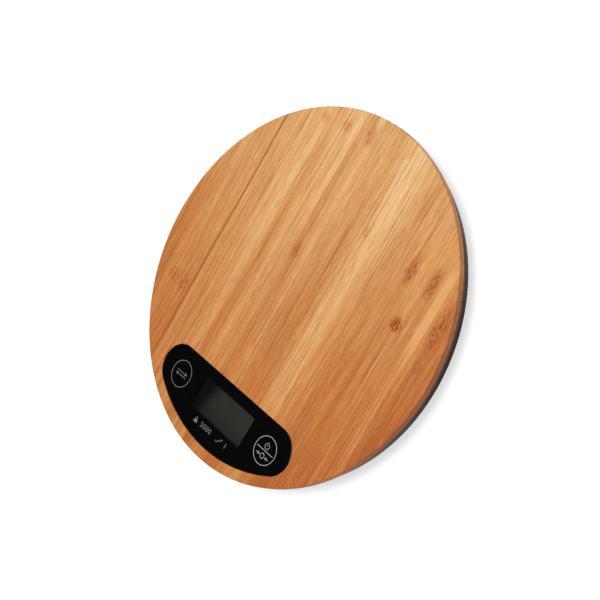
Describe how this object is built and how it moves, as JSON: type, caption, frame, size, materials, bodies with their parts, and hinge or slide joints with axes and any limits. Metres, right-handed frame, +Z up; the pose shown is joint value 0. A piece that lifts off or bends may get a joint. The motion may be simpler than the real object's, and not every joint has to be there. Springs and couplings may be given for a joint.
{
  "type": "kitchen scale",
  "caption": "Slim round electronic kitchen scale: bamboo weighing platform with a flush black display and touch-key panel, on a shallow black base with load-cell feet.",
  "frame": {"origin": "on the plane of the feet, under the centre of the round platform", "axes": "+Z up, -Y towards the user's side where the display is, +X to the user's right"},
  "size_m": [0.19, 0.19, 0.0158],
  "materials": {
    "bamboo": "laminated bamboo strips, clear satin lacquer",
    "base_plastic": "black ABS, polished side and lightly textured floor",
    "board": "green solder mask over glass-epoxy",
    "button_steel": "turned steel",
    "cell_aluminium": "milled aluminium",
    "cell_can": "nickel-plated steel can",
    "chip": "moulded epoxy",
    "contact_metal": "nickel-plated strip",
    "door_plastic": "black ABS, lightly textured",
    "foot_plastic": "black moulded plastic",
    "foot_rubber": "black rubber",
    "frame_plastic": "moulded white plastic",
    "label": "silver-grey polyester label, blank",
    "lcd": "liquid-crystal cell, switched off",
    "lead_black": "insulated wire",
    "lead_grey": "insulated wire",
    "lead_red": "insulated wire",
    "lens": "clear polished acrylic that looks black over its film",
    "mask": "black printed polyester film",
    "screw_steel": "zinc-plated",
    "sealant": "white silicone sealant",
    "silicone": "layered silicone",
    "small_parts": "ceramic and moulded bodies with tinned ends",
    "spring_steel": "nickel-plated spring wire",
    "tape": "double-sided tape"
  },
  "bodies": {
    "scale": {"bamboo_platform": "bamboo", "base_housing": "base_plastic", "board_parts": "small_parts", "board_screws": "screw_steel", "cell_screws": "screw_steel", "coin_cell": "cell_can", "controller_chip": "chip", "display_lens": "lens", "gauge_seals": "sealant", "lcd_frame": "frame_plastic", "lcd_glass": "lcd", "lens_tape": "tape", "load_buttons": "button_steel", "load_cell_back_left": "cell_aluminium", "load_cell_back_right": "cell_aluminium", "load_cell_front_left": "cell_aluminium", "load_cell_front_right": "cell_aluminium", "main_board": "board", "mask_film": "mask", "negative_contact": "contact_metal", "negative_lead": "lead_black", "platform_screws": "screw_steel", "positive_contact": "contact_metal", "positive_lead": "lead_red", "rating_label": "label", "sensor_leads_back_left": "lead_grey", "sensor_leads_back_right": "lead_grey", "sensor_leads_front_left": "lead_grey", "sensor_leads_front_right": "lead_grey", "touch_spring_left": "spring_steel", "touch_spring_right": "spring_steel", "zebra_strip": "silicone"},
    "foot_front_left": {"foot_cup_front_left": "foot_plastic", "foot_pad_front_left": "foot_rubber"},
    "foot_front_right": {"foot_cup_front_right": "foot_plastic", "foot_pad_front_right": "foot_rubber"},
    "foot_back_left": {"foot_cup_back_left": "foot_plastic", "foot_pad_back_left": "foot_rubber"},
    "foot_back_right": {"foot_cup_back_right": "foot_plastic", "foot_pad_back_right": "foot_rubber"},
    "battery_door": {"battery_door": "door_plastic"}
  },
  "joints": [
    {"name": "foot_front_left_travel", "type": "slide", "parent": "scale", "child": "foot_front_left", "axis": [0, 0, 1], "range_m": [0, 0.0004], "stiffness_N_per_m": 300, "springref_m": -0.002},
    {"name": "foot_front_right_travel", "type": "slide", "parent": "scale", "child": "foot_front_right", "axis": [0, 0, 1], "range_m": [0, 0.0004], "stiffness_N_per_m": 300, "springref_m": -0.002},
    {"name": "foot_back_left_travel", "type": "slide", "parent": "scale", "child": "foot_back_left", "axis": [0, 0, 1], "range_m": [0, 0.0004], "stiffness_N_per_m": 300, "springref_m": -0.002},
    {"name": "foot_back_right_travel", "type": "slide", "parent": "scale", "child": "foot_back_right", "axis": [0, 0, 1], "range_m": [0, 0.0004], "stiffness_N_per_m": 300, "springref_m": -0.002},
    {"name": "battery_door_hinge", "type": "hinge", "parent": "scale", "child": "battery_door", "pos_m": [0, -0.0043, 0.0022], "axis": [-1, 0, 0], "range_deg": [0, 95]}
  ]
}
